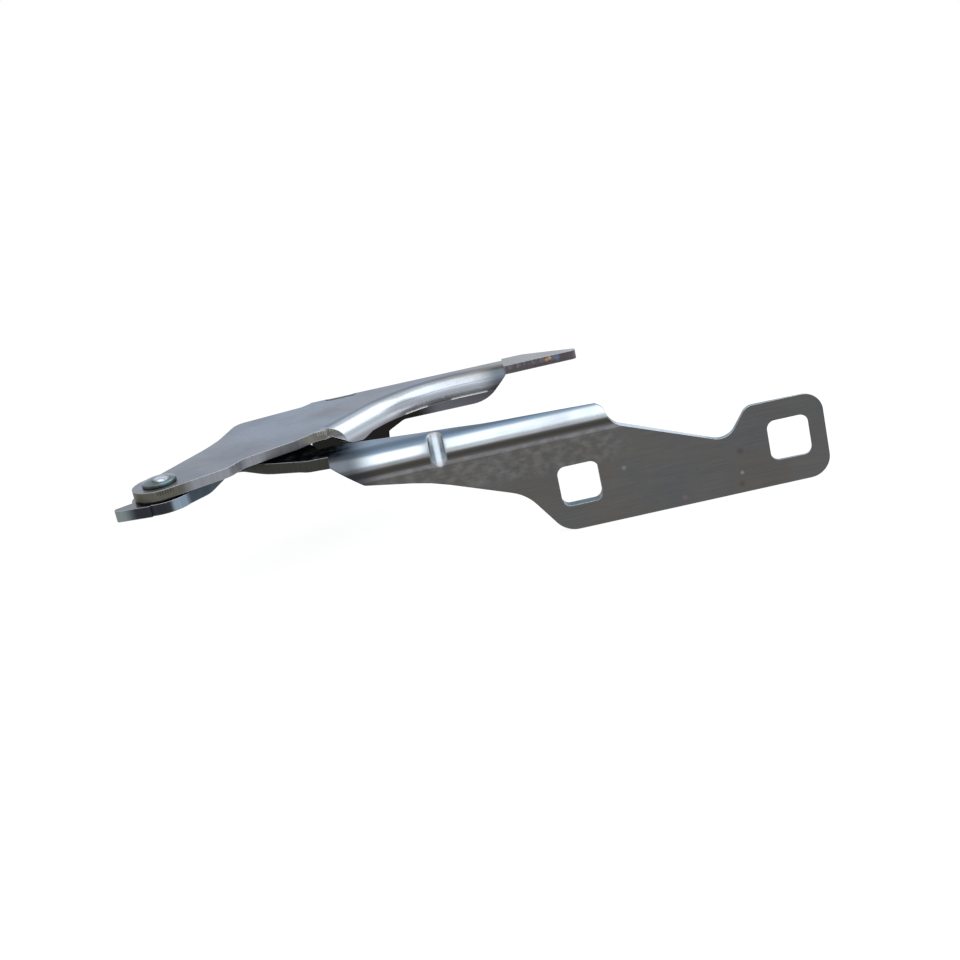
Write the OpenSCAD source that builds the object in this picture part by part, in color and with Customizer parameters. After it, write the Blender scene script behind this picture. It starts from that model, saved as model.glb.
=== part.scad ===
// Bonnet hinge: two stamped steel brackets that turn on one riveted pivot.
// Frame: +Z along the pivot axis with the rivet head up, +X from the pivot towards the square holes.
// The origin is on the body bracket's mounting face, midway between its two square holes.
// Brackets are drawn about the pivot axis, with z = 0 on top of the body bracket's web.

/* [Body bracket] */
// Sheet thickness of the body bracket
body_t = 3.5; // [3:0.1:4]
// Inside radius of the body bracket's bend
body_bend_r = 4; // [3.5:0.25:4.5]
// Distance along X from the pivot axis to the middle of the square holes
pivot_to_holes = 156.4; // [150:0.1:175]
// Distance along Y from the pivot axis to the mounting face
pivot_to_face = 4.5; // [4:0.1:5]
// Depth of the square holes' centres below the top of the web
hole_drop = 24; // [23:0.25:28]
// Distance between the centres of the square holes
hole_spacing = 65; // [56:0.5:72]
// Side of each square hole
hole_side = 12.7; // [10:0.1:14]
// Corner radius of each square hole
hole_corner_r = 2.6; // [1:0.1:4]
// Steel below the centre of a square hole
hole_foot = 14.2; // [12:0.1:18]
// Height of the end ear above the centre of its square hole
ear_rise = 12.6; // [11:0.1:14]
// Steel beyond the centre of the end ear's square hole
ear_reach = 11.4; // [10:0.1:16]
// Radius of the lobe round the pivot
lobe_r = 9.4; // [8.8:0.1:10.5]
// Reach of the tail past the pivot
tail_reach = 14; // [13:0.1:17]
// Clearance between the swan neck and the sweep of the bonnet bracket's lip
neck_clearance = 4.4; // [0.5:0.1:6]
// Distance of the swan neck's relief from the pivot, along X
relief_x = 19.4; // [18:0.1:21]
// Depth of the relief's sharp corner, before rounding, along Y
relief_y = 20.8; // [19:0.1:22]
// Radius at the bottom of the relief
relief_r = 3.5; // [2.5:0.1:4.5]
// Distance from the pivot to the left end of the mounting flange
flange_start = 51; // [49:0.5:53]
// Distance from the pivot to the dart pressed across the bend
dart_x = 83.7; // [78:0.1:96]
// Radius of the dart's groove
dart_r = 2.3; // [1.8:0.1:2.6]
// Depth of the dart's groove at the middle of the bend
dart_depth = 2.6; // [2:0.1:2.8]
// Tilt of the dart's groove from the mounting face
dart_tilt = 38; // [34:1:46]
// Steel left under the dart's groove
dart_wall = 2.8; // [2.4:0.1:3.2]

/* [Bonnet bracket] */
// Sheet thickness of the bonnet bracket
bonnet_t = 3; // [2.5:0.1:3.5]
// Inside radius of the bonnet bracket's bends
bonnet_bend_r = 2.5; // [2:0.1:3]
// Radius of the round end at the pivot
eye_r = 8.5; // [7.5:0.1:9.5]
// Height of the stiffening lip, from the top of the web
lip_h = 7; // [6.6:0.1:8]
// Radius of the lip's inward curve, on its outer face
lip_r = 38; // [34:0.5:42]
// Turn of the lip's inward curve
lip_turn = 50; // [47:1:53]
// Distance along X from the pivot to the end of the lip's curve
lip_x = 95.5; // [94:0.5:98]
// Distance along Y from the pivot to the lip's straight outer face
lip_y = 46.7; // [45.5:0.1:47.5]
// Height of the lobe at the lip's left end, from the top of the web
lip_lobe_h = 8.2; // [7.6:0.1:9]
// Distance along the lip from its lobe's lowest point to its curve
lip_lobe_x = 8; // [6.5:0.1:9]
// Length of the slanted corner at the lip's right end
lip_end_corner = 4.2; // [4:0.1:7]
// Distance along Y from the pivot to the start of the lip
lip_start_y = 21; // [20.5:0.1:22]
// Distance along X from the pivot to the right end of the lip and flange
lip_end_x = 110; // [107:0.5:114]
// Distance along Y from the pivot to the bonnet mounting face
seat_y = 60.5; // [60:0.1:63]
// Height of the flange beside the tab, from the top of the web
rim_h = 13; // [11:0.1:14]
// Height of the bolted tab, from the top of the web
tab_h = 21; // [20:0.1:24]
// Distance along X from the pivot to the left end of the tab
tab_x = 42; // [40:0.1:45]
// Diameter of the bonnet bolt holes
bolt_hole_d = 6.6; // [6:0.1:7]
// Distance between the bonnet bolt holes
bolt_spacing = 14; // [13:0.1:17]
// Depth of the bonnet bolt holes below the top of the web
bolt_drop = 10.4; // [10:0.1:12]
// Steel between a bonnet bolt hole and the end of the tab
tab_margin = 2.7; // [2.5:0.1:5]
// Length of the drain slot along the bonnet flange's bend
drain_l = 11; // [9:0.1:12]
// Width of the drain slot
drain_w = 4.4; // [3.6:0.1:4.8]
// Distance along X from the pivot to the middle of the drain slot
drain_x = 55.3; // [54:0.1:58]
// Reach of the pointed end past the lip
tip_reach = 24.5; // [18:0.5:28]

/* [Pivot] */
// Diameter of the rivet's shank
shank_d = 6; // [5:0.1:6.5]
// Running clearance of the shank in the bush, on the diameter
shank_clearance = 0.08; // [0.04:0.01:0.16]
// Wall of the bush
bush_wall = 1; // [0.8:0.1:1.2]
// Diameter of the rivet's head
head_d = 10.6; // [9.8:0.1:13]
// Height of the straight rim under the rivet's domed head
head_rim = 0.9; // [0.5:0.1:1.5]
// Height of the dome above its rim
head_dome = 1.1; // [0.8:0.1:2]
// Diameter of the washer between the brackets
washer_d = 15; // [13:0.1:16]
// Thickness of the washer between the brackets
washer_t = 0.5; // [0.4:0.05:0.9]
// Play along the pivot on each side of the bonnet bracket
axial_play = 0.1; // [0.05:0.01:0.2]
// Diameter of the rivet's formed tail
formed_d = 8.4; // [7.6:0.1:9.4]
// Height of the rivet's formed tail
formed_h = 1.2; // [0.8:0.1:2]

/* [Hidden] */
round_fn = 96;
// Greatest turn between two points of a rounded corner
arc_step = 6;
// Length by which a cutter passes a face
past = 1;

// The pivot's place in the part's own frame
pivot_at = [-pivot_to_holes, pivot_to_face, hole_drop];

// Heights along the pivot
bonnet_under = washer_t + axial_play;
bonnet_top = bonnet_under + bonnet_t;
head_under = bonnet_top + axial_play;
head_top = head_under + head_rim + head_dome;

// Outer radii of the bends
body_outer_r = body_bend_r + body_t;
lip_outer_r = bonnet_bend_r + bonnet_t;

// Bonnet bracket: path of the lip, and the corner of its flat web at the lip's start
lip_centre = [lip_x, lip_y - lip_r];
lip_arc_start = lip_centre + lip_r * [-sin(lip_turn), cos(lip_turn)];
lip_run = (lip_arc_start.y - lip_start_y) / sin(lip_turn);
lip_spare = lip_outer_r / tan(lip_turn) + past;
lip_flat_x = lip_arc_start.x - lip_run * cos(lip_turn) - lip_outer_r / sin(lip_turn);
// Width of the notch between the arm and the lip, at the lip's bend
notch_w = 0.4;

// Bonnet bracket: mounting flange, its tab and the arm between the eye and the flange
seat_bend_y = seat_y - lip_outer_r;
tab_side = bolt_hole_d / 2 + tab_margin;
tab_end_x = tab_x + bolt_spacing + 2 * tab_side;
tab_step = 3;
bolt_x = tab_x + tab_side;
arm_near = [[21.2, 0.2, 5], [25.2, 6.2, 6], [41.6, 13.6, 8], [47.4, 18.2, 4], [52.4, 18.4, 1]];
arm_far = [[20.2, seat_bend_y - 6.2, 5], [15.3, 33.5, 12], [11.8, 27, 30]];

// Body bracket: square holes and the flange round them
hole_1_x = pivot_to_holes - hole_spacing / 2;
hole_2_x = pivot_to_holes + hole_spacing / 2;
flange_foot_z = -hole_drop - hole_foot;
ear_top_z = -hole_drop + ear_rise;
ear_end_x = hole_2_x + ear_reach;

// Body bracket: swan neck, and the near edge that runs from its relief into the bend
bend_y = body_outer_r - pivot_to_face;
neck_r = norm([lip_flat_x, lip_start_y]) - neck_clearance;
neck_low_angle = 13;
neck_high_angle = 48;
relief_foot = [relief_x + 11.6, relief_y - 12.9];
near_run = [relief_foot.x + 12.5, bend_y - 1.5];
bend_start_x = relief_foot.x
    + (relief_foot.y - bend_y) * (near_run.x - relief_foot.x) / (relief_foot.y - near_run.y);
// Length past each end of the bend in which the dart's swelling fades
dart_fade = 2;

function unit(v) = v / norm(v);
function flat(p) = [p.x, p.y];
function polar(r, a) = r * [cos(a), sin(a)];

// Arc that rounds corner b between its neighbours a and c; b.z is the radius, limited by the shorter side
function corner_arc(a, b, c) =
    let (
        to_a = flat(a) - flat(b),
        to_c = flat(c) - flat(b),
        u = unit(to_a),
        v = unit(to_c),
        half = acos(u * v) / 2,
        r = min(b.z, tan(half) * min(norm(to_a), norm(to_c)) / 2),
        centre = flat(b) + unit(u + v) * r / sin(half),
        first = flat(b) + u * r / tan(half) - centre,
        turn = (180 - 2 * half) * sign(u.y * v.x - u.x * v.y),
        steps = ceil(abs(turn) / arc_step)
    )
    [for (i = [0:steps]) centre + polar(r, atan2(first.y, first.x) + turn * i / steps)];

// Outline through corners [x, y, radius], with every radius above zero made an arc
function rounded(corners) =
    let (n = len(corners))
    [for (i = [0:n - 1])
        each corners[i].z > 0
            ? corner_arc(corners[(i + n - 1) % n], corners[i], corners[(i + 1) % n])
            : [flat(corners[i])]];

// Section of a sheet's edge bent down: outer face on x = 0, top on y = 0, flat sheet from x = r + t
module bent_section(t, r, drop) {
    outer = r + t;
    translate([outer, -outer])
        intersection() {
            difference() {
                circle(outer, $fn = round_fn);
                circle(r, $fn = round_fn);
            }
            translate([-outer, 0])
                square(outer);
        }
    translate([0, -drop])
        square([t, drop - outer]);
}

// A straight stretch of bent edge along +X, with its outer face on y = 0 facing -Y
module bent_edge(t, r, drop, length) {
    rotate([90, 0, 90])
        linear_extrude(length)
            bent_section(t, r, drop);
}

// A flat outline in X and Z, made solid from y_from to y_to
module upright(y_from, y_to) {
    translate([0, y_to, 0])
        rotate([90, 0, 0])
            linear_extrude(y_to - y_from)
                children();
}

// Plan of the body bracket's web and of the bend's ends, seen from above
module body_plan() {
    tail_y = -lobe_r * 0.8;
    polygon(rounded([
        [-tail_reach, tail_y, 2],
        [-lobe_r * 0.3, -lobe_r * 1.03, 0],
        [0, 0, 0],
        [-lobe_r * 0.6, -lobe_r * 0.1, 0],
        [-tail_reach, tail_y + lobe_r * 0.25, 1.2]
    ]));
    circle(lobe_r, $fn = round_fn);
    polygon(concat(
        rounded([
            [0, lobe_r * 0.6, 0],
            [lobe_r * 0.62, -lobe_r * 0.74, 0],
            [relief_x - 5.5, relief_y - 19.4, 10],
            [relief_x, relief_y, relief_r],
            [relief_foot.x, relief_foot.y, 18],
            [near_run.x, near_run.y, 8],
            [flange_start, near_run.y - 0.4, 0],
            [flange_start, -pivot_to_face - past, 0],
            [ear_end_x + past, -pivot_to_face - past, 0],
            [ear_end_x + past, bend_y - 7.5, 0],
            [dart_x + 14, bend_y - 2.2, 60],
            [dart_x - 5, bend_y + 1.8, 20],
            [neck_r + 5, bend_y + 8.4, 4],
            [neck_r * cos(neck_low_angle), neck_r * sin(neck_low_angle), 0]
        ]),
        [for (a = [neck_low_angle:5:neck_high_angle]) polar(neck_r, a)],
        rounded([
            [neck_r * cos(neck_high_angle), neck_r * sin(neck_high_angle), 0],
            [relief_x + 3, neck_r * 0.75, 6],
            [lobe_r * 0.3, lobe_r * 0.92, 0]
        ])
    ));
}

// Face of the body bracket's mounting flange, seen from the front, with the bend above it
module flange_face() {
    slant_z = -body_t + 0.9;
    slant_foot_z = slant_z - 7.3;
    near_z = -body_t - 1.1;
    polygon(rounded([
        [bend_start_x, past, 0],
        [bend_start_x, near_z, 0],
        [flange_start, near_z, 0],
        [flange_start, slant_z, 0],
        [flange_start + 9.1, slant_foot_z, 2.5],
        [flange_start + 29, slant_foot_z - 3.5, 60],
        [hole_1_x - 16.7, -hole_drop + 0.2, 14],
        [hole_1_x - 6.9, flange_foot_z, 8],
        [ear_end_x, flange_foot_z, 6.5],
        [ear_end_x, ear_top_z, 6],
        [hole_2_x - 11.5, ear_top_z, 4],
        [hole_2_x - 18.6, -hole_drop + 3.1, 6],
        [hole_1_x + 12.6, -body_outer_r - 0.1, 6],
        [hole_1_x + 10.9, -1.2, 4],
        [hole_1_x - 12, past, 0]
    ]));
}

// One square hole, centred on the origin
module square_hole() {
    half = hole_side / 2;
    sides = [[-1, -1], [1, -1], [1, 1], [-1, 1]];
    polygon(rounded([for (s = sides) [s.x * half, s.y * half, hole_corner_r]]));
}

// A round bar across the bend, whose underside is the bottom of the dart's groove
module dart_bar(r) {
    middle = body_outer_r * (1 - cos(45)) + (dart_depth - dart_r) * cos(45);
    translate([dart_x, middle - pivot_to_face, -middle])
        rotate([-dart_tilt, 0, 0])
            cylinder(h = 4 * body_outer_r, r = r, center = true, $fn = round_fn);
}

// The swelling that the dart leaves inside the bend
module dart_swelling() {
    skin = body_t * 0.75;
    side = body_outer_r + dart_fade - skin;
    intersection() {
        dart_bar(dart_r + dart_wall);
        translate([dart_x - body_outer_r, skin - pivot_to_face, -body_outer_r - dart_fade])
            cube([2 * body_outer_r, side, side]);
    }
}

module body_bracket() {
    color("#8b8d90")
        translate(pivot_at)
            difference() {
                union() {
                    translate([0, 0, -body_t])
                        linear_extrude(body_t)
                            difference() {
                                body_plan();
                                translate([bend_start_x, bend_y - ear_end_x])
                                    square(ear_end_x);
                            }
                    intersection() {
                        translate([0, -pivot_to_face, 0])
                            bent_edge(body_t, body_bend_r, -flange_foot_z + past, ear_end_x + past);
                        upright(-pivot_to_face - past, bend_y + past)
                            flange_face();
                        translate([0, 0, flange_foot_z - past])
                            linear_extrude(-flange_foot_z + 2 * past)
                                body_plan();
                    }
                    dart_swelling();
                }
                dart_bar(dart_r);
                translate([0, 0, -body_t - past])
                    cylinder(h = body_t + 2 * past, d = shank_d, $fn = round_fn);
                upright(-pivot_to_face - past, -pivot_to_face + body_t + past)
                    for (x = [hole_1_x, hole_2_x])
                        translate([x, -hole_drop])
                            square_hole();
            }
}

// What lies outside the line where the lip's bend starts
module lip_side() {
    flat_r = lip_r + lip_outer_r;
    reach = 2 * flat_r;
    start = lip_run + lip_spare;
    lap = 1;
    translate(lip_centre)
        intersection() {
            circle(flat_r, $fn = round_fn);
            polygon([
                [0, 0],
                polar(reach, 90 - lap),
                polar(reach, 90 + lip_turn / 2),
                polar(reach, 90 + lip_turn + lap)
            ]);
        }
    translate(lip_centre)
        square([lip_end_x - lip_x, flat_r]);
    difference() {
        translate(lip_arc_start)
            rotate(lip_turn)
                translate([-start, -lip_r])
                    square([start, flat_r]);
        translate([0, lip_start_y - lip_x])
            square(lip_x);
    }
}

// Plan of the bonnet bracket's flat web and pointed end
module bonnet_plan() {
    tip_x = lip_end_x + tip_reach;
    tip_near = lip_y + 1.3;
    inside_lip = lip_y - 4;
    circle(eye_r, $fn = round_fn);
    difference() {
        polygon(rounded(concat(
            [[0, 0, 0], [eye_r * 0.37, -eye_r * 0.93, 0]],
            arm_near,
            [
                [lip_flat_x, lip_start_y - notch_w, 0],
                [lip_flat_x + notch_w, lip_start_y, 0],
                [lip_arc_start.x, lip_arc_start.y, 0],
                [lip_x, inside_lip, 0],
                [lip_end_x, inside_lip, 0],
                [lip_end_x, tip_near, 0],
                [tip_x - 1, tip_near + 0.6, 1.2],
                [tip_x, tip_near + 2.6, 1.5],
                [lip_end_x + 7, seat_bend_y + 3, 4],
                [lip_end_x, seat_bend_y + 3, 0],
                [lip_end_x, seat_bend_y, 0],
                [tab_x + tab_step, seat_bend_y, 0],
                [tab_x, seat_bend_y - 2.4, 0]
            ],
            arm_far,
            [[-eye_r * 0.2, eye_r * 0.98, 0]]
        )));
        lip_side();
    }
}

// Face of the bonnet bracket's mounting flange, seen from the front, z = 0 on top of the web
module seat_face() {
    polygon(rounded([
        [tab_x + tab_step, rim_h, 0],
        [tab_x + tab_step, -lip_outer_r, 0],
        [tab_x, -lip_outer_r - tab_step, 4],
        [tab_x, -tab_h, 5],
        [tab_end_x - 0.5, -tab_h, 6],
        [tab_end_x + 0.2, -rim_h - 2.8, 1],
        [tab_end_x + 6, -rim_h, 4],
        [lip_end_x, -rim_h, 12],
        [lip_end_x, rim_h, 0]
    ]));
}

// Face of the lip's straight start with its lobe, seen from outside, x = 0 where its curve starts
module lip_start_face() {
    start = lip_run + lip_spare;
    polygon(rounded([
        [-start, past, 0],
        [-start, -bonnet_t, 0],
        [-lip_run - 3, -bonnet_t, 0],
        [-lip_run + 1.6, -lip_h, 8],
        [-lip_lobe_x, -lip_lobe_h, 6],
        [-lip_lobe_x + 5, -lip_h, 3],
        [past, -lip_h, 0],
        [past, past, 0]
    ]));
}

// Face of the lip's straight end, seen from outside, x = 0 where its curve ends
module lip_end_face() {
    length = lip_end_x - lip_x;
    polygon(rounded([
        [-past, past, 0],
        [-past, -lip_h, 0],
        [length - lip_end_corner, -lip_h, 3],
        [length, -bonnet_t, 0],
        [length, past, 0]
    ]));
}

// The stiffening lip: a straight start, an inward curve and a straight end
module lip() {
    start = lip_run + lip_spare;
    lobe_past = lip_lobe_h + past;
    difference() {
        union() {
            translate([lip_arc_start.x, lip_arc_start.y, 0])
                rotate([0, 0, lip_turn])
                    intersection() {
                        translate([-start, 0, 0])
                            bent_edge(bonnet_t, bonnet_bend_r, lobe_past, start);
                        upright(-past, lip_outer_r + past)
                            lip_start_face();
                    }
            translate([lip_centre.x, lip_centre.y, 0])
                rotate([0, 0, 90])
                    rotate_extrude(angle = lip_turn, $fn = round_fn)
                        translate([lip_r, 0])
                            bent_section(bonnet_t, bonnet_bend_r, lip_h);
            translate([lip_x, lip_y, 0])
                intersection() {
                    bent_edge(bonnet_t, bonnet_bend_r, lip_h + past, lip_end_x - lip_x);
                    upright(-past, lip_outer_r + past)
                        lip_end_face();
                }
        }
        translate([0, lip_start_y - lip_x, -lobe_past])
            cube([lip_x, lip_x, lobe_past + past]);
    }
}

// Outline of the drain slot, centred on the origin
module drain_slot() {
    length = drain_l - drain_w;
    square([length, drain_w], center = true);
    for (side = [-1, 1])
        translate([side * length / 2, 0])
            circle(d = drain_w, $fn = round_fn);
}

module bonnet_bracket() {
    bore_d = shank_d + shank_clearance + 2 * bush_wall;
    color("#989ca2")
        translate(pivot_at)
            translate([0, 0, bonnet_top])
                difference() {
                    union() {
                        translate([0, 0, -bonnet_t])
                            linear_extrude(bonnet_t)
                                bonnet_plan();
                        lip();
                        intersection() {
                            translate([tab_x, seat_y, 0])
                                mirror([0, 1, 0])
                                    bent_edge(bonnet_t, bonnet_bend_r, tab_h, lip_end_x - tab_x);
                            upright(seat_bend_y - past, seat_y + past)
                                seat_face();
                        }
                    }
                    translate([0, 0, -bonnet_t - past])
                        cylinder(h = bonnet_t + 2 * past, d = bore_d, $fn = round_fn);
                    translate([drain_x, seat_bend_y, -lip_outer_r - past])
                        linear_extrude(lip_outer_r + 2 * past)
                            drain_slot();
                    for (i = [0, 1])
                        translate([bolt_x + i * bolt_spacing, seat_y + past, -bolt_drop])
                            rotate([90, 0, 0])
                                cylinder(h = bonnet_t + 2 * past, d = bolt_hole_d, $fn = round_fn);
                }
}

module pivot_rivet() {
    dome_r = (pow(head_d / 2, 2) + pow(head_dome, 2)) / (2 * head_dome);
    color("#a9adb2")
        translate(pivot_at) {
            translate([0, 0, -body_t])
                cylinder(h = head_under + body_t, d = shank_d, $fn = round_fn);
            translate([0, 0, head_under])
                cylinder(h = head_rim, d = head_d, $fn = round_fn);
            intersection() {
                translate([0, 0, head_top - dome_r])
                    sphere(dome_r, $fn = round_fn);
                translate([0, 0, head_under + head_rim])
                    cylinder(h = head_dome + past, d = head_d, $fn = round_fn);
            }
            translate([0, 0, -body_t - formed_h])
                cylinder(h = formed_h, d1 = formed_d * 0.8, d2 = formed_d, $fn = round_fn);
        }
}

module pivot_bush() {
    bore_d = shank_d + shank_clearance;
    color("#8a7a55")
        translate(pivot_at)
            translate([0, 0, bonnet_under])
                difference() {
                    cylinder(h = bonnet_t, d = bore_d + 2 * bush_wall, $fn = round_fn);
                    translate([0, 0, -past])
                        cylinder(h = bonnet_t + 2 * past, d = bore_d, $fn = round_fn);
                }
}

module thrust_washer() {
    color("#5c5a52")
        translate(pivot_at)
            difference() {
                cylinder(h = washer_t, d = washer_d, $fn = round_fn);
                translate([0, 0, -past])
                    cylinder(h = washer_t + 2 * past, d = shank_d, $fn = round_fn);
            }
}

body_bracket();
bonnet_bracket();
pivot_rivet();
pivot_bush();
thrust_washer();
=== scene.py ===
"""Bonnet hinge: steel finishes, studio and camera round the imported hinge. Metres, in the CAD frame."""

import math

import bpy
from mathutils import Matrix, Vector


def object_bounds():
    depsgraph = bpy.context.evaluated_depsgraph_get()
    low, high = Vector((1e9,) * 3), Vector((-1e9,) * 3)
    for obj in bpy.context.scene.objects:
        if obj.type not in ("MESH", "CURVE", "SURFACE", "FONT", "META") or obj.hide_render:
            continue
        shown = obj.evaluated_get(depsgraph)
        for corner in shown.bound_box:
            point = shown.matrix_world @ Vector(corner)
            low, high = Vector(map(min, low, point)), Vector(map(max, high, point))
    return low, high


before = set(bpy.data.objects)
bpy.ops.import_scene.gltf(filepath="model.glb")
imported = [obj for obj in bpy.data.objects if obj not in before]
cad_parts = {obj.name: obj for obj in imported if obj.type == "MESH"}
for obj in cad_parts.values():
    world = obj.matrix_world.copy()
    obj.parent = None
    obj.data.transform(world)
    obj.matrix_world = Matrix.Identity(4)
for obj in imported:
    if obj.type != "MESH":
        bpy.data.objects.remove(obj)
cad_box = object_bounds()
MM = 0.001

# The pivot's axis
PIVOT_X = -156.4 * MM
PIVOT_Y = 4.5 * MM
# Body bracket: underside of its web, foot of its bend and middle of the dart
WEB_UNDER = 20.5 * MM
BEND_FOOT = 16.5 * MM
DART_X = -72.7 * MM
# Bonnet bracket: top and underside of its web, foot of its lip and inner face of its flange
BONNET_TOP = 27.6 * MM
BONNET_UNDER = 24.6 * MM
LIP_FOOT = 20.6 * MM
FLANGE_INSIDE = 62.0 * MM
# Radius by which the shear's edges are broken
BROKEN_EDGE = 0.35 * MM


def linear(hex_colour):
    """An sRGB hex colour as linear red, green, blue and alpha."""
    parts = [int(hex_colour[i : i + 2], 16) / 255 for i in (1, 3, 5)]
    return tuple(c / 12.92 if c <= 0.04045 else ((c + 0.055) / 1.055) ** 2.4 for c in parts) + (1.0,)


def add(tree, kind, inputs=(), **settings):
    """Adds a shader node with its settings; an input is linked where it is a socket and set otherwise."""
    made = tree.nodes.new("ShaderNode" + kind)
    for name, value in settings.items():
        setattr(made, name, value)
    for name, value in dict(inputs).items():
        if isinstance(value, bpy.types.NodeSocket):
            tree.links.new(value, made.inputs[name])
        else:
            made.inputs[name].default_value = value
    return made


def new_material(name):
    """An empty material with its tree, its shader and its object coordinates."""
    material = bpy.data.materials.new(name)
    material.use_nodes = True
    tree = material.node_tree
    tree.nodes.clear()
    shader = add(tree, "BsdfPrincipled")
    add(tree, "OutputMaterial", {"Surface": shader.outputs["BSDF"]})
    return material, tree, shader, add(tree, "TexCoord")


def pressed_steel(name, sheet, cool, stain, edge, grain, burnish_highlight_angles, sheared_edges, extras):
    """Cold-rolled steel sheet, pressed and left bare under a film of oil. The rolls leave fine streaks, turned from X
    by the angle grain. The bends are paler between two angles of turn, and so are the arrises, partly from burnishing
    and partly as a painted highlight. Handling leaves cloudy smudges, straw stains, specks and hair scratches, and
    the shear leaves an edge with fine marks across its thickness. sheared_edges gives the mask of those edges and the
    marks' size, and extras gives the radius of the broken edges, this bracket's own tints, some of them painted light
    and shade, and where painted shade also dulls the grazing reflection."""
    material, tree, shader, place = new_material(name)
    at = place.outputs["Object"]
    edge_mask, mark_scale = sheared_edges(tree, place)
    broken_radius, edge_tints, face_tints, dull = extras(tree, place)

    # Roll streaks: 14 mm long and 0.5 mm wide, drawn several times too coarse so that they show
    along_grain = (0, 0, math.radians(grain))
    streak_at = add(
        tree,
        "Mapping",
        {"Vector": at, "Rotation": along_grain, "Scale": (14 * MM, 0.5 * MM, 0.5 * MM)},
        vector_type="TEXTURE",
    )
    streaks = add(tree, "TexNoise", {"Vector": streak_at.outputs[0], "Scale": 1.0, "Detail": 3.0}).outputs[0]
    # Smudges and clouds of oil, about 14 mm across
    clouds = add(tree, "TexNoise", {"Vector": at, "Scale": 1 / 0.014, "Detail": 5.0, "Roughness": 0.6}).outputs[0]
    # Straw stains, about 35 mm across
    stain_at = add(tree, "Mapping", {"Vector": at, "Location": (0.31, 0.17, 0.05)})
    stains = add(tree, "TexNoise", {"Vector": stain_at.outputs[0], "Scale": 1 / 0.035, "Detail": 4.0}).outputs[0]
    # Specks of dirt 0.4 mm across, one to about 7 mm
    cells = add(tree, "TexVoronoi", {"Vector": at, "Scale": 1 / 0.007})
    specks = add(tree, "MapRange", {"Value": cells.outputs["Distance"], 1: 0.03, 2: 0.07, 3: 0.25, 4: 0.0}).outputs[0]
    # Hair scratches: thin crests of a noise 30 mm long and 3 mm wide, turned away from the streaks
    scratch_at = add(
        tree,
        "Mapping",
        {"Vector": at, "Rotation": (0.3, 0.6, 0.5), "Scale": (30 * MM, 3 * MM, 3 * MM)},
        vector_type="TEXTURE",
    )
    scratch_wave = add(tree, "TexNoise", {"Vector": scratch_at.outputs[0], "Scale": 1.0, "Detail": 1.0}).outputs[0]
    scratch_off = add(tree, "Math", {0: scratch_wave, 1: 0.62}, operation="SUBTRACT").outputs[0]
    scratch_size = add(tree, "Math", {0: scratch_off}, operation="ABSOLUTE").outputs[0]
    scratches = add(tree, "MapRange", {"Value": scratch_size, 1: 0.0, 2: 0.006, 3: 1.0, 4: 0.0}).outputs[0]

    # Burnishing and a painted highlight, by the normal's rise: full where a bend has turned between the two angles
    # and none on flats
    broken = add(tree, "Bevel", {"Radius": broken_radius}, samples=8).outputs[0]
    rise = add(tree, "SeparateXYZ", {0: broken}).outputs[2]
    start, end = (math.cos(math.radians(angle)) for angle in burnish_highlight_angles)
    turned = add(tree, "MapRange", {0: rise, 1: start + 0.12, 2: start}, interpolation_type="SMOOTHSTEP").outputs[0]
    not_past = add(tree, "MapRange", {0: rise, 1: end - 0.13, 2: end}, interpolation_type="SMOOTHSTEP").outputs[0]
    burnish_and_highlight = add(tree, "Math", {0: turned, 1: not_past}, operation="MULTIPLY").outputs[0]
    burnished_highlight = linear("#b3bac1")

    # Colour: sheet grey, cooler in the clouds, straw in the stains, brighter on the bends by burnishing and a painted
    # highlight, dark at the specks
    cloud_mix = add(tree, "MapRange", {"Value": clouds, 1: 0.35, 2: 0.65}).outputs[0]
    grey = add(tree, "Mix", {0: cloud_mix, 6: linear(sheet), 7: linear(cool)}, data_type="RGBA").outputs[2]
    bright = add(tree, "Mix", {0: burnish_and_highlight, 6: grey, 7: burnished_highlight}, data_type="RGBA").outputs[2]
    stain_mix = add(tree, "MapRange", {"Value": stains, 1: 0.46, 2: 0.7, 3: 0.0, 4: 0.7}).outputs[0]
    stained = add(tree, "Mix", {0: stain_mix, 6: bright, 7: linear(stain)}, data_type="RGBA").outputs[2]
    streak_light = add(tree, "MapRange", {"Value": streaks, 1: 0.3, 2: 0.7, 3: 0.92, 4: 1.08}).outputs[0]
    streaked = add(tree, "VectorMath", {0: stained, "Scale": streak_light}, operation="SCALE").outputs[0]
    specked = add(tree, "Mix", {0: specks, 6: streaked, 7: linear("#3a2a24")}, data_type="RGBA").outputs[2]

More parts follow.
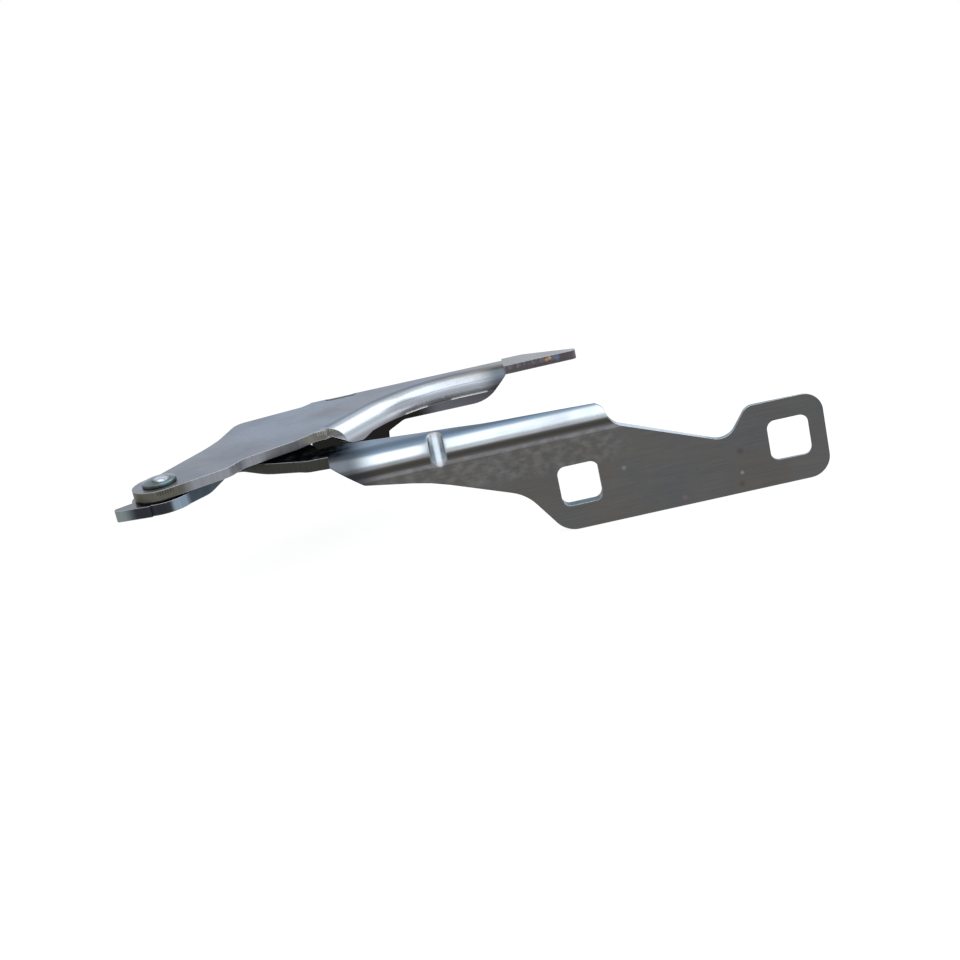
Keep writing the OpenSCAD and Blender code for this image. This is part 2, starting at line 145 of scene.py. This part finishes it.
    # Sheared edges: marks that run across the sheet, brighter again on the broken arris, a painted highlight
    mark_at = add(tree, "Mapping", {"Vector": at, "Scale": mark_scale})
    marks = add(tree, "TexNoise", {"Vector": mark_at.outputs[0], "Scale": 1.0, "Detail": 2.0}).outputs[0]
    mark_light = add(tree, "MapRange", {"Value": marks, 1: 0.35, 2: 0.65, 3: 0.93, 4: 1.06}).outputs[0]
    tinted = linear(edge)
    for tint_mask, tint in edge_tints:
        tinted = add(tree, "Mix", {0: tint_mask, 6: tinted, 7: linear(tint)}, data_type="RGBA").outputs[2]
    face_rise = add(tree, "SeparateXYZ", {0: place.outputs["Normal"]}).outputs[2]
    tipped = add(tree, "Math", {0: rise, 1: face_rise}, operation="SUBTRACT").outputs[0]
    tipped_by = add(tree, "Math", {0: tipped}, operation="ABSOLUTE").outputs[0]
    arris = add(tree, "MapRange", {0: tipped_by, 1: 0.15, 2: 0.4, 3: 0.0, 4: 0.7}).outputs[0]
    sheared = add(tree, "Mix", {0: arris, 6: tinted, 7: burnished_highlight}, data_type="RGBA").outputs[2]
    marked = add(tree, "VectorMath", {0: sheared, "Scale": mark_light}, operation="SCALE").outputs[0]
    surface = specked
    for tint_mask, tint in face_tints:
        surface = add(tree, "Mix", {0: tint_mask, 6: surface, 7: linear(tint)}, data_type="RGBA").outputs[2]
    colour = add(tree, "Mix", {0: edge_mask, 6: surface, 7: marked}, data_type="RGBA").outputs[2]
    tree.links.new(colour, shader.inputs["Base Color"])

    # Painted shade is dull at a low angle too, which the tint of a metal's grazing reflection gives
    bare, dulled = linear("#ffffff"), linear("#7a7a7a")
    grazing = add(tree, "Mix", {0: dull, 6: bare, 7: dulled}, data_type="RGBA").outputs[2]
    tree.links.new(grazing, shader.inputs["Specular Tint"])

    # Roughness: bends are smoothest, oily clouds shine a little more, scratches and stains a little less, edges least
    cloud_rough = add(tree, "MapRange", {"Value": clouds, 1: 0.3, 2: 0.7, 3: 0.22, 4: 0.29}).outputs[0]
    bend_rough = add(tree, "Math", {0: burnish_and_highlight, 1: -0.04, 2: cloud_rough}, operation="MULTIPLY_ADD").outputs[0]
    edge_rough = add(tree, "Math", {0: edge_mask, 1: 0.2, 2: bend_rough}, operation="MULTIPLY_ADD").outputs[0]
    stain_rough = add(tree, "Math", {0: stain_mix, 1: 0.12, 2: edge_rough}, operation="MULTIPLY_ADD").outputs[0]
    scratch_rough = add(tree, "Math", {0: scratches, 1: 0.1, 2: stain_rough}, operation="MULTIPLY_ADD").outputs[0]
    tree.links.new(scratch_rough, shader.inputs["Roughness"])

    # Relief: streaks about 2 microns deep, marks on the edges deeper, over the broken edges
    edge_marks = add(tree, "Math", {0: marks, 1: edge_mask}, operation="MULTIPLY").outputs[0]
    relief = add(tree, "Math", {0: edge_marks, 1: 2.0, 2: streaks}, operation="MULTIPLY_ADD").outputs[0]
    cut = add(tree, "Math", {0: scratches, 1: -0.8, 2: relief}, operation="MULTIPLY_ADD").outputs[0]
    bump = add(tree, "Bump", {"Height": cut, "Strength": 0.5, "Distance": 0.002 * MM, "Normal": broken})
    tree.links.new(bump.outputs[0], shader.inputs["Normal"])
    shader.inputs["Metallic"].default_value = 1.0
    return material


def body_edges(tree, place):
    """The body bracket's edges: upright faces of the web, faces of the flange that don't face Y, and cut ends of
    the bend that face along X, away from the dart."""
    normal = add(tree, "SeparateXYZ", {0: place.outputs["Normal"]}).outputs
    at = add(tree, "SeparateXYZ", {0: place.outputs["Object"]}).outputs
    side_x = add(tree, "Math", {0: normal[0]}, operation="ABSOLUTE").outputs[0]
    side_y = add(tree, "Math", {0: normal[1]}, operation="ABSOLUTE").outputs[0]
    side_z = add(tree, "Math", {0: normal[2]}, operation="ABSOLUTE").outputs[0]
    upright = add(tree, "Math", {0: side_z, 1: 0.3}, operation="LESS_THAN").outputs[0]
    in_web = add(tree, "Math", {0: at[2], 1: WEB_UNDER - 0.05 * MM}, operation="GREATER_THAN").outputs[0]
    web_edge = add(tree, "Math", {0: upright, 1: in_web}, operation="MULTIPLY").outputs[0]
    across = add(tree, "Math", {0: side_y, 1: 0.3}, operation="LESS_THAN").outputs[0]
    in_flange = add(tree, "Math", {0: at[2], 1: BEND_FOOT}, operation="LESS_THAN").outputs[0]
    flange_edge = add(tree, "Math", {0: across, 1: in_flange}, operation="MULTIPLY").outputs[0]
    ends = add(tree, "Math", {0: side_x, 1: 0.35}, operation="GREATER_THAN").outputs[0]
    from_dart = add(tree, "Math", {0: at[0], 1: DART_X}, operation="SUBTRACT").outputs[0]
    dart_gap = add(tree, "Math", {0: from_dart}, operation="ABSOLUTE").outputs[0]
    clear = add(tree, "Math", {0: dart_gap, 1: 7 * MM}, operation="GREATER_THAN").outputs[0]
    bend_end = add(tree, "Math", {0: ends, 1: clear}, operation="MULTIPLY").outputs[0]
    two = add(tree, "Math", {0: web_edge, 1: flange_edge}, operation="MAXIMUM").outputs[0]
    mask = add(tree, "Math", {0: two, 1: bend_end}, operation="MAXIMUM").outputs[0]
    return mask, (1 / 0.0008, 1 / 0.003, 1 / 0.012)


def bonnet_edges(tree, place):
    """The bonnet bracket's edges: upright faces between the web's top and its underside."""
    normal = add(tree, "SeparateXYZ", {0: place.outputs["Normal"]}).outputs
    at = add(tree, "SeparateXYZ", {0: place.outputs["Object"]}).outputs
    side_z = add(tree, "Math", {0: normal[2]}, operation="ABSOLUTE").outputs[0]
    upright = add(tree, "Math", {0: side_z, 1: 0.3}, operation="LESS_THAN").outputs[0]
    in_web = add(tree, "Math", {0: at[2], 1: BONNET_UNDER - 0.05 * MM}, operation="GREATER_THAN").outputs[0]
    mask = add(tree, "Math", {0: upright, 1: in_web}, operation="MULTIPLY").outputs[0]
    return mask, (1 / 0.0008, 1 / 0.0008, 1 / 0.012)


def stretch(tree, along, middle, reach, fade, within=1.0):
    """A mask along one axis, in mm: it equals within up to reach from the middle, and fades to 0 over the next few."""
    off = add(tree, "Math", {0: along, 1: middle * MM}, operation="SUBTRACT").outputs[0]
    gap = add(tree, "Math", {0: off}, operation="ABSOLUTE").outputs[0]
    return add(
        tree,
        "MapRange",
        {0: gap, 1: reach * MM, 2: (reach + fade) * MM, 3: within, 4: 0.0},
        interpolation_type="SMOOTHSTEP",
    ).outputs[0]


def spot(tree, at, middle, reach, strength):
    """A mask that is full at a point, in mm, and fades to 0 at reach from it."""
    point = tuple(c * MM for c in middle)
    far = add(tree, "VectorMath", {0: at, 1: point}, operation="DISTANCE").outputs["Value"]
    return add(tree, "MapRange", {0: far, 1: 0.2 * MM, 2: reach * MM, 3: strength, 4: 0.0}).outputs[0]


def body_extras(tree, place):
    """The body bracket's edges are broken, and the lips of its dart are drawn in softly by 1.6 mm. The tail's end is
    paler, the lobe's edge carries painted shade, a short stretch beside it a painted highlight and the edge past that
    painted shade. Cut edges that face up carry a painted highlight, greyer on the ear by the right hole and on the
    floors of the holes. At the foot of the bend lie a painted dark band and then a pale line, partly rub marks and
    partly a painted highlight, and the flange below carries rub marks. The bend's crown carries a painted bluish
    reflection, it has a painted highlight left of the dart and on the dart's lips, and painted shade at its left end,
    and the neck carries painted shade, nearly black and mottled, under the bonnet bracket."""
    at = add(tree, "SeparateXYZ", {0: place.outputs["Object"]}).outputs
    normal = add(tree, "SeparateXYZ", {0: place.outputs["Normal"]}).outputs
    by_dart = stretch(tree, at[0], DART_X / MM, 4.5, 1.5)
    radius = add(tree, "MapRange", {0: by_dart, 3: BROKEN_EDGE, 4: 1.6 * MM}).outputs[0]
    up_facing = add(tree, "MapRange", {0: normal[2], 1: 0.5, 2: 0.9}).outputs[0]
    hole_floor = add(tree, "MapRange", {0: at[2], 1: -4 * MM, 2: -5 * MM, 3: 0.0, 4: up_facing}).outputs[0]
    edges = [
        # Painted shade on the lobe's edge under the bonnet bracket's eye
        (stretch(tree, at[0], -160.5, 5.5, 3.0), "#303237"),
        (stretch(tree, at[0], -170.4, 2.0, 5.0), "#7c8585"),
        # Painted shade on the edge past the painted highlight
        (stretch(tree, at[0], -141.0, 6.0, 3.0), "#46525c"),
        # Painted highlight on a short stretch of the edge
        (stretch(tree, at[0], -150.5, 1.4, 1.6), "#8799a8"),
        # Painted highlight on cut edges that face up, greyer on the ear and on the floors of the holes
        (up_facing, "#b4bbc2"),
        (stretch(tree, at[0], 30.0, 20.0, 5.0, up_facing), "#77868b"),
        (hole_floor, "#56666b"),
    ]

    facing = add(tree, "MapRange", {0: normal[1], 1: -0.2, 2: -0.6}).outputs[0]
    rub_at = add(tree, "Mapping", {"Vector": place.outputs["Object"], "Scale": (1 / 0.003, 1, 1 / 0.002)}).outputs[0]
    rubs = add(tree, "TexNoise", {"Vector": rub_at, "Scale": 1.0, "Detail": 5.0}).outputs[0]
    rub_and_sheen = add(tree, "MapRange", {0: rubs, 1: 0.42, 2: 0.68, 3: 0.0, 4: 0.28}).outputs[0]
    rubbed_facing = add(tree, "Math", {0: rub_and_sheen, 1: facing}, operation="MULTIPLY").outputs[0]
    rubbed_along = stretch(tree, at[0], -62.0, 38.0, 12.0, rubbed_facing)
    past_bend = add(tree, "MapRange", {0: normal[2], 1: 0.32, 2: 0.18, 3: 0.0, 4: 0.75}).outputs[0]
    before_flat = add(tree, "MapRange", {0: normal[2], 1: 0.0, 2: 0.08, 3: 0.0, 4: facing}).outputs[0]
    painted_dark_band = add(tree, "Math", {0: past_bend, 1: before_flat}, operation="MULTIPLY").outputs[0]
    pale_line = add(tree, "Math", {0: facing, 1: 0.35, 2: rubbed_facing}, operation="MULTIPLY_ADD").outputs[0]
    crown = add(tree, "MapRange", {0: normal[2], 1: 0.72, 2: 0.84}).outputs[0]
    leaning = add(tree, "MapRange", {0: normal[2], 1: 0.98, 2: 0.85, 3: 0.0, 4: 0.85}).outputs[0]
    dart_height = stretch(tree, at[2], 19.5, 2.5, 1.5, 0.6)
    from_mid_bend = add(tree, "Math", {0: normal[2], 1: 0.58}, operation="SUBTRACT").outputs[0]
    mid_bend_gap = add(tree, "Math", {0: from_mid_bend}, operation="ABSOLUTE").outputs[0]
    mid_bend = add(tree, "MapRange", {0: mid_bend_gap, 1: 0.1, 2: 0.2, 3: facing, 4: 0.0}).outputs[0]
    # Mottle of the painted shade on the neck
    shade_mottle = add(
        tree, "TexNoise", {"Vector": place.outputs["Object"], "Scale": 1 / 0.004, "Detail": 6.0}
    ).outputs[0]
    shade_mottled = add(tree, "MapRange", {0: shade_mottle, 1: 0.3, 2: 0.7, 3: 0.7, 4: 0.98}).outputs[0]
    level = add(tree, "MapRange", {0: normal[2], 1: 0.85, 2: 0.95, 3: 0.0, 4: shade_mottled}).outputs[0]
    neck = stretch(tree, at[0], -126.0, 23.0, 12.0, level)
    faces = [
        (stretch(tree, at[2], 10.5, 3.0, 4.0, rubbed_along), "#8b8b8c"),
        # Painted shade: a dark band at the foot of the bend
        (painted_dark_band, "#3a3834"),
        # Pale line at the bend's foot: rub marks and a painted highlight
        (stretch(tree, at[2], 15.6, 0.3, 0.6, pale_line), "#8f9096"),
        # Painted bluish reflection on the bend's crown
        (stretch(tree, at[0], -30.0, 68.0, 8.0, crown), "#5e6e7e"),
        # Painted highlight on the bend left of the dart
        (stretch(tree, at[0], -87.0, 7.0, 6.0, mid_bend), "#c4cdd3"),
        # Painted shade at the bend's left end
        (stretch(tree, at[0], -106.0, 6.0, 12.0, leaning), "#2a2d32"),
        # Painted highlight on the dart's lips
        (stretch(tree, at[0], DART_X / MM, 2.0, 0.8, dart_height), "#a4aeb6"),
        # Painted shade on the neck under the bonnet bracket, nearly black and mottled
        (neck, "#212429"),
    ]
    # Rust specks and knocks on the flange's outside: x, z and reach in mm, and tint
    fleck_strength = 0.4
    flecks = (
        (17.0, -0.9, 1.5, "#42322d"),
        (29.4, -11.7, 1.4, "#6b5049"),
        (-2.0, -11.6, 1.1, "#86696a"),
        (16.1, -11.4, 1.3, "#3b3532"),
        (16.6, -7.8, 0.8, "#a6a6a3"),
        (-18.6, 1.9, 1.0, "#929290"),
    )
    for x, z, reach, tint in flecks:
        faces.append((spot(tree, place.outputs["Object"], (x, 0.0, z), reach, fleck_strength), tint))
    return radius, edges, faces, neck


def bonnet_extras(tree, place):
    """The bonnet bracket's edges are broken. The shear leaves the edge brown-grey with dark teeth at the eye, paler
    with bright teeth by the lip's start, and dark and torn at the tip, with small spots of temper colour. The tip's
    top is straw-grey. The lip's face carries a painted highlight, strongest at its start, with a painted highlight
    line low on its bend and two painted glints on its cut edge; it is greyer low down and has painted shade at its
    end. Painted shade darkens the flange's inside and the underside, nearly black over one stretch of its length."""
    place_at = place.outputs["Object"]
    at = add(tree, "SeparateXYZ", {0: place_at}).outputs
    normal = add(tree, "SeparateXYZ", {0: place.outputs["Normal"]}).outputs
    ragged_at = add(tree, "Mapping", {"Vector": place_at, "Scale": (1 / 0.0011, 1 / 0.0011, 1 / 0.004)}).outputs[0]
    ragged = add(tree, "TexNoise", {"Vector": ragged_at, "Scale": 1.0, "Detail": 2.0}).outputs[0]
    tear = add(tree, "MapRange", {0: ragged, 1: 0.42, 2: 0.6}).outputs[0]
    # Teeth of the shear: 0.76 mm apart, drawn coarser than real ones so that they show
    wave = add(tree, "Math", {0: at[0], 1: 0.38 * MM}, operation="PINGPONG").outputs[0]
    tooth = add(tree, "MapRange", {0: wave, 1: 0.12 * MM, 2: 0.28 * MM, 3: 0.0, 4: 0.85}).outputs[0]
    teeth = stretch(tree, at[2], BONNET_TOP / MM, 1.2, 0.5, tooth)
    tears = stretch(tree, at[2], BONNET_TOP / MM, 1.3, 0.6, tear)
    lip_side = (24.0, 14.0, 8.0)
    by_lip = stretch(tree, at[1], *lip_side)
    lip_teeth = stretch(tree, at[1], *lip_side, teeth)
    edges = [
        (stretch(tree, at[0], -159.0, 9.0, 5.0), "#5e5e55"),
        (stretch(tree, at[0], -106.0, 5.0, 4.0, by_lip), "#8e8d86"),
        (stretch(tree, at[0], -154.0, 2.0, 0.8, teeth), "#3a3935"),
        (stretch(tree, at[0], -104.7, 3.6, 0.8, lip_teeth), "#bfc1c3"),
        (stretch(tree, at[0], -34.0, 11.5, 1.0), "#6a656a"),
        (stretch(tree, at[0], -37.0, 7.0, 3.0, tears), "#837d84"),
        (spot(tree, place_at, (-32.1, 52.7, 26.5), 0.8, 0.9), "#e8ae68"),
        (spot(tree, place_at, (-31.0, 52.8, 26.8), 0.7, 0.9), "#ecc694"),
        (spot(tree, place_at, (-28.6, 53.0, 26.5), 1.3, 0.6), "#7f96c8"),
        (spot(tree, place_at, (-38.8, 51.5, 26.9), 1.4, 0.5), "#b89690"),
    ]

    below_web = add(tree, "Math", {0: at[2], 1: BONNET_UNDER}, operation="LESS_THAN").outputs[0]
    facing = add(tree, "MapRange", {0: normal[1], 1: -0.3, 2: -0.7, 3: 0.0, 4: below_web}).outputs[0]
    on_flange = add(tree, "Math", {0: at[1], 1: FLANGE_INSIDE - MM}, operation="GREATER_THAN").outputs[0]
    inside = add(tree, "Math", {0: facing, 1: on_flange}, operation="MULTIPLY").outputs[0]
    on_lip = add(tree, "Math", {0: facing, 1: on_flange}, operation="SUBTRACT", use_clamp=True).outputs[0]
    underside = add(tree, "MapRange", {0: normal[2], 1: -0.3, 2: -0.7}).outputs[0]
    # Mask of painted shade: the flange's inside and the underside
    inside_shade = add(tree, "Math", {0: inside, 1: underside}, operation="MAXIMUM").outputs[0]
    leaning = add(tree, "MapRange", {0: normal[2], 1: 0.99, 2: 0.9, 3: 0.0, 4: 0.85}).outputs[0]
    highlight_offset = add(tree, "Math", {0: normal[2], 1: 0.07}, operation="SUBTRACT").outputs[0]
    highlight_gap = add(tree, "Math", {0: highlight_offset}, operation="ABSOLUTE").outputs[0]
    highlight_line = add(tree, "MapRange", {0: highlight_gap, 1: 0.04, 2: 0.12, 3: on_lip, 4: 0.0}).outputs[0]
    cut_edge = stretch(tree, at[2], LIP_FOOT / MM, 0.5, 0.1, on_lip)
    lip_low = add(tree, "MapRange", {0: at[2], 1: 22.3 * MM, 2: 20.9 * MM, 3: 0.0, 4: on_lip}).outputs[0]
    lip_start_highlight = stretch(tree, at[1], 28.0, 12.0, 8.0, leaning)
    level = add(tree, "MapRange", {0: normal[2], 1: 0.6, 2: 0.85, 3: 0.0, 4: 0.8}).outputs[0]
    faces = [
        (stretch(tree, at[0], -28.0, 14.0, 26.0, level), "#8a857c"),
        (stretch(tree, at[0], -15.0, 4.0, 12.0, level), "#a09c92"),
        # Painted highlight on the lip's face
        (on_lip, "#a0a5af"),
        # Painted highlight: a bright line low on the lip's bend
        (highlight_line, "#d3dae4"),
        # Painted highlight at the lip's start
        (stretch(tree, at[0], -95.0, 5.0, 8.0, lip_start_highlight), "#b4bcc5"),
        (lip_low, "#827d85"),
        # Painted shade at the lip's end
        (stretch(tree, at[0], -45.5, 3.0, 8.0, leaning), "#3f4850"),
        (spot(tree, place_at, (-46.6, 48.0, 26.6), 2.4, 0.6), "#94776a"),
        # Painted glints on the lip's cut edge
        (stretch(tree, at[0], -77.2, 3.4, 0.6, cut_edge), "#f2f4f0"),
        (stretch(tree, at[0], -59.4, 5.6, 0.8, cut_edge), "#f2f4f0"),
        # Painted shade on the flange's inside and the underside, nearly black over one stretch
        (inside_shade, "#66666e"),
        (stretch(tree, at[0], -105.0, 27.0, 9.0, inside_shade), "#22211f"),
    ]
    return BROKEN_EDGE, edges, faces, inside_shade


def plated_rivet_steel():
    """Headed steel wire with thin zinc plate. The setting tool presses a button 5 mm across into the head, a little
    off its centre, with dark oil in the step round it, and leaves the collar satin and faintly ringed. The button's
    pale colour is partly polish and partly a painted highlight, and one pale cyan spot on the collar is a painted
    highlight."""
    step_radius = 2.6 * MM
    material, tree, shader, place = new_material("plated_rivet_steel")
    centred = add(tree, "Mapping", {"Vector": place.outputs["Object"], "Location": (-PIVOT_X, -PIVOT_Y, 0)})
    from_button = add(tree, "VectorMath", {0: centred.outputs[0], 1: (1.1 * MM, -1.6 * MM, 0)}, operation="SUBTRACT")
    flat = add(tree, "VectorMath", {0: from_button.outputs[0], 1: (1, 1, 0)}, operation="MULTIPLY").outputs[0]
    radius = add(tree, "VectorMath", {0: flat}, operation="LENGTH").outputs["Value"]
    button = add(
        tree, "MapRange", {0: radius, 1: 3.0 * MM, 2: 0.4 * MM}, interpolation_type="SMOOTHSTEP"
    ).outputs[0]
    # Pale button: polish and a painted highlight
    polish_and_highlight = add(tree, "MapRange", {0: radius, 1: step_radius, 2: 1.5 * MM}).outputs[0]
    step_off = add(tree, "Math", {0: radius, 1: step_radius}, operation="SUBTRACT").outputs[0]
    step_gap = add(tree, "Math", {0: step_off}, operation="ABSOLUTE").outputs[0]
    oil = add(tree, "MapRange", {0: step_gap, 1: 0.15 * MM, 2: 0.6 * MM, 3: 0.6, 4: 0.0}).outputs[0]
    rings = add(
        tree,
        "TexWave",
        {"Vector": centred.outputs[0], "Scale": 1 / 0.012, "Distortion": 1.0, "Detail": 2.0},
        wave_type="RINGS",
        rings_direction="Z",
    ).outputs[1]
    clouds = add(tree, "TexNoise", {"Vector": centred.outputs[0], "Scale": 1 / 0.003, "Detail": 4.0}).outputs[0]
    tint = add(tree, "MapRange", {"Value": clouds, 1: 0.3, 2: 0.7}).outputs[0]
    plate = add(tree, "Mix", {0: tint, 6: linear("#4b5354"), 7: linear("#687173")}, data_type="RGBA").outputs[2]
    # Painted highlight: a pale cyan spot on the collar
    rub_and_sheen = spot(tree, centred.outputs[0], (2.4, -3.2, 28.6), 2.6, 0.8)
    collar = add(tree, "Mix", {0: rub_and_sheen, 6: plate, 7: linear("#9fc4d0")}, data_type="RGBA").outputs[2]
    oiled = add(tree, "Mix", {0: oil, 6: collar, 7: linear("#2e2f33")}, data_type="RGBA").outputs[2]
    colour = add(tree, "Mix", {0: polish_and_highlight, 6: oiled, 7: linear("#b4b7be")}, data_type="RGBA").outputs[2]
    collar_rough = add(tree, "MapRange", {"Value": clouds, 1: 0.3, 2: 0.7, 3: 0.22, 4: 0.34}).outputs[0]
    rough = add(tree, "Math", {0: polish_and_highlight, 1: -0.12, 2: collar_rough}, operation="MULTIPLY_ADD").outputs[0]
    broken = add(tree, "Bevel", {"Radius": 0.4 * MM}, samples=6)
    fine = add(tree, "Bump", {"Height": rings, "Strength": 0.5, "Distance": 0.01 * MM, "Normal": broken.outputs[0]})
    bump = add(
        tree, "Bump", {"Height": button, "Strength": 1.0, "Distance": 0.7 * MM, "Normal": fine.outputs[0]}
    )
    tree.links.new(colour, shader.inputs["Base Color"])
    tree.links.new(rough, shader.inputs["Roughness"])
    tree.links.new(bump.outputs[0], shader.inputs["Normal"])
    shader.inputs["Metallic"].default_value = 1.0
    return material


def sintered_bronze():
    """Bronze powder pressed and sintered, with oil in its pores: brown-gold, satin and finely pitted."""
    material, tree, shader, place = new_material("sintered_bronze")
    at = place.outputs["Object"]
    pores = add(tree, "TexVoronoi", {"Vector": at, "Scale": 1 / 0.0004}).outputs["Distance"]
    oil = add(tree, "TexNoise", {"Vector": at, "Scale": 1 / 0.002, "Detail": 3.0}).outputs[0]
    colour = add(tree, "Mix", {0: oil, 6: linear("#6e5a34"), 7: linear("#b0935a")}, data_type="RGBA").outputs[2]
    rough = add(tree, "MapRange", {"Value": oil, 1: 0.3, 2: 0.7, 3: 0.32, 4: 0.5}).outputs[0]
    bump = add(tree, "Bump", {"Height": pores, "Strength": 0.5, "Distance": 0.02 * MM})
    tree.links.new(colour, shader.inputs["Base Color"])
    tree.links.new(rough, shader.inputs["Roughness"])
    tree.links.new(bump.outputs[0], shader.inputs["Normal"])
    shader.inputs["Metallic"].default_value = 1.0
    return material


def filled_ptfe():
    """PTFE filled with carbon, skived into a thin sheet: dark olive grey, waxy, with faint flow clouds."""
    material, tree, shader, place = new_material("filled_ptfe")
    at = place.outputs["Object"]
    clouds = add(tree, "TexNoise", {"Vector": at, "Scale": 1 / 0.002, "Detail": 4.0}).outputs[0]
    colour = add(tree, "Mix", {0: clouds, 6: linear("#2c2c29"), 7: linear("#4a4942")}, data_type="RGBA").outputs[2]
    rough = add(tree, "MapRange", {"Value": clouds, 1: 0.3, 2: 0.7, 3: 0.42, 4: 0.58}).outputs[0]
    tree.links.new(colour, shader.inputs["Base Color"])
    tree.links.new(rough, shader.inputs["Roughness"])
    shader.inputs["IOR"].default_value = 1.37
    return material


finishes = {
    "body_bracket": pressed_steel(
        "pressed_steel_body", "#5b5a58", "#565759", "#5a554e", "#3c3d39", 0, (42, 69), body_edges, body_extras
    ),
    "bonnet_bracket": pressed_steel(
        "pressed_steel_bonnet", "#61676c", "#54606e", "#696059", "#8c8e95", 24, (28, 57), bonnet_edges, bonnet_extras
    ),
    "pivot_rivet": plated_rivet_steel(),
    "pivot_bush": sintered_bronze(),
    "thrust_washer": filled_ptfe(),
}
for name, finish in finishes.items():
    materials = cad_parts[name].data.materials
    materials.clear()
    materials.append(finish)


def seen_directly(tree):
    """1 for a ray from the camera, a reflection or through glass, and 0 for one that lights."""
    rays = add(tree, "LightPath").outputs
    by_eye = add(tree, "Math", {0: rays["Is Camera Ray"], 1: rays["Is Glossy Ray"]}, operation="MAXIMUM").outputs[0]
    return add(tree, "Math", {0: by_eye, 1: rays["Is Transmission Ray"]}, operation="MAXIMUM").outputs[0]


# White floor just under the flange; what looks at it sees white with a faint shadow
floor_z = cad_box[0].z - 0.1 * MM
floor_mesh = bpy.data.meshes.new("floor")
floor_mesh.from_pydata(
    [(-0.9, -0.9, floor_z), (0.8, -0.9, floor_z), (0.8, 0.5, floor_z), (-0.9, 0.5, floor_z)], [], [(0, 1, 2, 3)]
)
floor = bpy.data.objects.new("floor", floor_mesh)
bpy.context.scene.collection.objects.link(floor)
paper = bpy.data.materials.new("white_paper")
paper.use_nodes = True
paper_tree = paper.node_tree
paper_tree.nodes.clear()
glow_share = add(paper_tree, "Math", {0: seen_directly(paper_tree), 1: 0.85}, operation="MULTIPLY").outputs[0]
matt = add(paper_tree, "BsdfDiffuse", {"Color": linear("#f2f2f2")}).outputs[0]
glow = add(paper_tree, "Emission", {"Color": (1, 1, 1, 1), "Strength": 1.1}).outputs[0]
lit_paper = add(paper_tree, "MixShader", {0: glow_share, 1: matt, 2: glow}).outputs[0]
add(paper_tree, "OutputMaterial", {"Surface": lit_paper})
floor_mesh.materials.append(paper)

# World: white where it is looked at, dim where it lights
world = bpy.data.worlds.new("studio")
bpy.context.scene.world = world
world.use_nodes = True
world_tree = world.node_tree
world_tree.nodes.clear()
strength = add(world_tree, "MapRange", {"Value": seen_directly(world_tree), 3: 0.35, 4: 1.0}).outputs[0]
sky = add(world_tree, "Background", {"Color": (1, 1, 1, 1), "Strength": strength})
add(world_tree, "OutputWorld", {"Surface": sky.outputs[0]})


def soft_lamp(name, place, target, size, radiance, colour):
    """A flat soft lamp of this size that faces the target; radiance is what a mirror would show of it."""
    lamp = bpy.data.lights.new(name, "AREA")
    lamp.shape = "RECTANGLE"
    lamp.size, lamp.size_y = size
    lamp.energy = radiance * math.pi * size[0] * size[1]
    lamp.color = linear(colour)[:3]
    lamp_object = bpy.data.objects.new(name, lamp)
    aim = (Vector(target) - Vector(place)).to_track_quat("-Z", "Y").to_matrix().to_4x4()
    lamp_object.matrix_world = Matrix.Translation(place) @ aim
    lamp_object.visible_camera = False
    bpy.context.scene.collection.objects.link(lamp_object)


hinge_middle = (-0.06, 0.0, 0.02)
soft_lamp("top_lamp", (-0.06, -0.21, 0.60), hinge_middle, (0.9, 0.8), 1.45, "#f0f7ff")
soft_lamp("back_lamp", (-0.06, 0.9, 0.34), hinge_middle, (1.6, 0.6), 0.3, "#61b3ff")
soft_lamp("right_lamp", (0.45, 0.25, 0.48), (-0.10, 0.03, 0.02), (0.6, 0.5), 1.6, "#f0f7ff")

# Camera: 18 degrees down, rolled 12.5 degrees, fitted to the square holes and the sheet's outline
pitch, roll = math.radians(18), math.radians(12.5)
right = Vector((1, 0, 0))
up = Vector((0, math.sin(pitch), math.cos(pitch)))
back = Vector((0, -math.cos(pitch), math.sin(pitch)))
across = right * math.cos(roll) - up * math.sin(roll)
upward = right * math.sin(roll) + up * math.cos(roll)
camera_data = bpy.data.cameras.new("camera")
camera_data.sensor_width = 36
camera_data.lens = 63.75
camera_data.clip_start = 0.01
camera = bpy.data.objects.new("camera", camera_data)
turn = Matrix((across, upward, back)).transposed().to_4x4()
camera_place = (-0.0620, -0.4883, 0.1667)
camera.matrix_world = Matrix.Translation(camera_place) @ turn
bpy.context.scene.collection.objects.link(camera)
bpy.context.scene.camera = camera

bpy.context.scene.view_settings.view_transform = "Standard"
